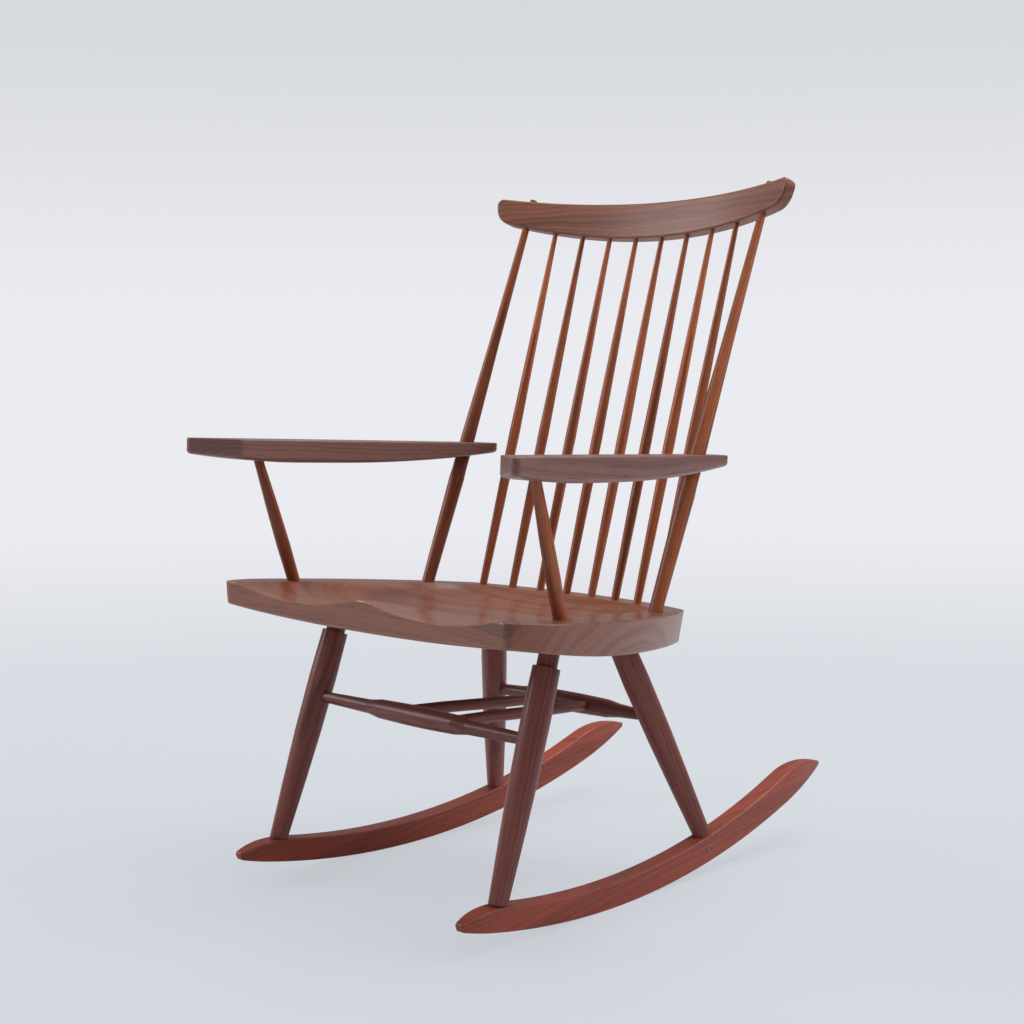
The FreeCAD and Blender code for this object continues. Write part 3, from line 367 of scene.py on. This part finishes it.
@dataclass
class Assembly:
    """A group of the chair's pieces that are dressed together."""

    finish: Walnut

    def dress(self, node: str, grain: Grain) -> None:
        """Gives a node its finish.

        Args:
            node: name of the piece's node.
            grain: how its grain runs.
        """
        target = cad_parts[node]
        target.data.materials.clear()
        target.data.materials.append(self.finish.material(f"{node}_walnut", grain))
        log.info("dressed %s", node)

    def dress_along(self, node: str, aside: Point) -> None:
        """Dresses a long piece with its grain from end to end.

        Args:
            node: name of the piece's node.
            aside: offset of the pith from the piece's middle.
        """
        start, end = ends_of(node)
        pith = (start + end) / 2 + Vector(aside)
        self.dress(node, Grain(tuple(end - start), tuple(pith)))


@dataclass
class Seat(Assembly):
    """The scooped plank: grain from side to side, pith below the front."""

    finish: Walnut = PLANK
    pith: Point = (0.0, -0.13, 0.20)

    def build(self) -> None:
        """Dresses the plank."""
        self.dress("seat", Grain((1.0, 0.02, 0.0), self.pith))


@dataclass
class Back(Assembly):
    """The crest rail, its posts and their wedges, and the spindles."""

    finish: Walnut = SPLIT
    rail: Walnut = RAIL
    wedge: Walnut = ENDGRAIN
    spindles: int = 8

    def build(self) -> None:
        """Dresses the back."""
        Assembly(self.rail).dress("crest_rail", Grain((1.0, 0.0, 0.03), (0.0, 0.17, 0.80)))
        for number in range(1, self.spindles + 1):
            aside = 0.012 + 0.004 * (number % 3)
            behind = 0.01 * (number % 2) - 0.02
            self.dress_along(f"spindle_{number}", (aside, behind, 0.0))
        for hand in Hand:
            self.dress_along(f"{hand.value}_post", (0.02 * hand.side, 0.015, 0.0))
            grain = Grain((0.0, 0.2, 1.0), (0.0, 0.2, 0.9))
            Assembly(self.wedge).dress(f"{hand.value}_post_wedge", grain)


@dataclass
class Arms(Assembly):
    """The paddle arms and their supports."""

    finish: Walnut = PADDLE
    support: Walnut = SPLIT

    def build(self) -> None:
        """Dresses both arms."""
        for hand in Hand:
            side = hand.side
            grain = Grain((0.13 * side, -1.0, 0.06), (0.20 * side, 0.0, 0.50))
            self.dress(f"{hand.value}_arm", grain)
            Assembly(self.support).dress_along(f"{hand.value}_arm_support", (0.015 * side, 0.02, 0.0))


@dataclass
class Undercarriage(Assembly):
    """Legs and stretchers."""

    finish: Walnut = TURNED

    def build(self) -> None:
        """Dresses the legs and the stretchers."""
        for hand in Hand:
            for end in ("front", "back"):
                self.dress_along(f"{hand.value}_{end}_leg", (0.03 * hand.side, 0.03, 0.0))
            self.dress_along(f"{hand.value}_medial_stretcher", (0.015, 0.0, 0.02))
        for end in ("front", "back"):
            self.dress_along(f"{end}_stretcher", (0.0, 0.02, 0.02))


@dataclass
class Rockers(Assembly):
    """The sawn rockers, grain along their chord."""

    finish: Walnut = RUNNER
    apart: float = 0.201
    toe_in: float = 0.026
    climb: float = 0.12
    pith_aside: float = 0.03
    pith_height: float = -0.06

    def build(self) -> None:
        """Dresses both rockers."""
        for hand in Hand:
            along = (self.toe_in * hand.side, 1.0, self.climb)
            pith = (self.apart * hand.side + self.pith_aside, 0.0, self.pith_height)
            self.dress(f"{hand.value}_rocker", Grain(along, pith))


# The studio


@dataclass(frozen=True)
class Lamp:
    """A square soft lamp.

    Args:
        name: the lamp's name.
        place: where it hangs.
        aim: the point that it faces.
        size: length of its sides.
        watts: its power.
    """

    name: str
    place: Point
    aim: Point
    size: float
    watts: float

    def build(self) -> None:
        """Hangs the lamp."""
        data = bpy.data.lights.new(self.name, "AREA")
        data.shape = "SQUARE"
        data.size = self.size
        data.energy = self.watts
        lamp = bpy.data.objects.new(self.name, data)
        bpy.context.scene.collection.objects.link(lamp)
        lamp.location = self.place
        way = Vector(self.aim) - Vector(self.place)
        lamp.rotation_euler = way.to_track_quat("-Z", "Y").to_euler()


LAMPS = (
    Lamp("overhead", (0.2, 0.6, 2.9), (0.0, 0.0, 0.4), 2.6, 74.0),
    Lamp("left_front", (-2.6, -1.9, 1.9), (0.0, 0.0, 0.5), 1.7, 48.0),
    Lamp("right_back", (2.7, 1.9, 2.0), (0.0, 0.0, 0.5), 1.4, 32.0),
)


@dataclass
class Studio:
    """Floor, backdrop and lamps."""

    floor_radius: float = 40.0
    nearest: Point = (1.6, -1.7, 0.0)
    floor_near: Colour = (0.655, 0.69, 0.735)
    floor_far: Colour = (0.83, 0.835, 0.875)
    sky_low: Colour = (0.83, 0.835, 0.875)
    sky_high: Colour = (0.67, 0.69, 0.73)
    lit_share: float = 0.22
    paling: tuple[float, float] = (2.2, 7.0)
    shadow_fade: tuple[float, float] = (2.6, 0.7)
    sky_rise: float = 0.2
    fill: Colour = (0.93, 0.96, 1.0)
    fill_strength: float = 0.27
    gloss_share: float = 0.06
    gloss_roughness: float = 0.22

    def build(self) -> None:
        """Builds the studio."""
        self.floor()
        self.world()
        for lamp in LAMPS:
            lamp.build()
            log.info("hung %s", lamp.name)

    def floor(self) -> None:
        """Lays a wide floor that grows paler into the distance."""
        bpy.ops.object.select_all(action="DESELECT")
        bpy.ops.mesh.primitive_circle_add(vertices=96, radius=self.floor_radius, fill_type="NGON")
        floor = bpy.context.object
        floor.name = "studio_floor"
        material = bpy.data.materials.new("studio_floor_paint")
        material.use_nodes = True
        shader = Shader(material.node_tree)
        place = shader.node("ShaderNodeTexCoord").outputs["Object"]
        apart = shader.node(
            "ShaderNodeVectorMath", {"operation": "DISTANCE"}, {0: place, 1: self.nearest}
        )
        depth = shader.signal(apart.outputs["Value"]).eased(*self.paling)
        around = shader.node("ShaderNodeVectorMath", {"operation": "LENGTH"}, {0: place})
        near = shader.signal(around.outputs["Value"]).eased(*self.shadow_fade)
        colour = shader.mixed(depth, self.floor_near, self.floor_far)
        matte = shader.node("ShaderNodeBsdfDiffuse", {}, {"Color": colour})
        gloss = shader.node(
            "ShaderNodeBsdfGlossy", {}, {"Color": (1.0, 1.0, 1.0), "Roughness": self.gloss_roughness}
        )
        lit = shader.node(
            "ShaderNodeMixShader", {}, {0: self.gloss_share, 1: matte.outputs[0], 2: gloss.outputs[0]}
        )
        glow = shader.node("ShaderNodeEmission", {}, {"Color": colour, "Strength": 1.0})
        rays = shader.node("ShaderNodeLightPath")
        seen = shader.signal(rays.outputs["Is Camera Ray"]) * (1.0 - near * self.lit_share)
        both = shader.node("ShaderNodeMixShader", {}, {0: seen, 1: lit.outputs[0], 2: glow.outputs[0]})
        shader.node("ShaderNodeOutputMaterial", {}, {"Surface": both.outputs[0]})
        floor.data.materials.append(material)

    def world(self) -> None:
        """Sets the backdrop's colours and the soft light from all around."""
        world = bpy.data.worlds.new("studio_backdrop")
        world.use_nodes = True
        bpy.context.scene.world = world
        shader = Shader(world.node_tree)
        way = shader.node("ShaderNodeTexCoord").outputs["Generated"]
        split = shader.node("ShaderNodeSeparateXYZ", {}, {"Vector": way})
        rise = shader.signal(split.outputs["Z"]).eased(0.0, self.sky_rise)
        colour = shader.mixed(rise, self.sky_low, self.sky_high)
        seen = shader.node("ShaderNodeBackground", {}, {"Color": colour, "Strength": 1.0})
        soft = shader.node(
            "ShaderNodeBackground", {}, {"Color": self.fill, "Strength": self.fill_strength}
        )
        rays = shader.node("ShaderNodeLightPath")
        both = shader.node(
            "ShaderNodeMixShader", {},
            {0: rays.outputs["Is Camera Ray"], 1: soft.outputs[0], 2: seen.outputs[0]},
        )
        shader.node("ShaderNodeOutputWorld", {}, {"Surface": both.outputs[0]})


@dataclass
class Viewpoint:
    """The camera, as fitted to the chair."""

    place: Point = (1.6238, -1.7559, 0.7131)
    azimuth: float = 43.922
    downwards: float = 5.487
    roll: float = -0.088
    lens: float = 61.673
    sensor: float = 36.0

    def build(self) -> None:
        """Sets the camera up."""
        data = bpy.data.cameras.new("portrait")
        data.sensor_fit = "HORIZONTAL"
        data.sensor_width = self.sensor
        data.lens = self.lens
        data.clip_end = 200.0
        camera = bpy.data.objects.new("portrait", data)
        bpy.context.scene.collection.objects.link(camera)
        level = Matrix.Rotation(math.radians(self.azimuth), 4, "Z")
        pitch = Matrix.Rotation(math.radians(90.0 - self.downwards), 4, "X")
        roll = Matrix.Rotation(math.radians(self.roll), 4, "Z")
        camera.matrix_world = Matrix.Translation(self.place) @ level @ pitch @ roll
        bpy.context.scene.camera = camera


def main() -> None:
    """Dresses the chair, piece by piece, and sets it in the studio."""
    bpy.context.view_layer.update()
    bpy.context.scene.view_settings.view_transform = "Standard"
    Viewpoint().build()
    Studio().build()
    for assembly in (Seat(), Back(), Arms(), Undercarriage(), Rockers()):
        assembly.build()


if __name__ == "__main__":
    main()
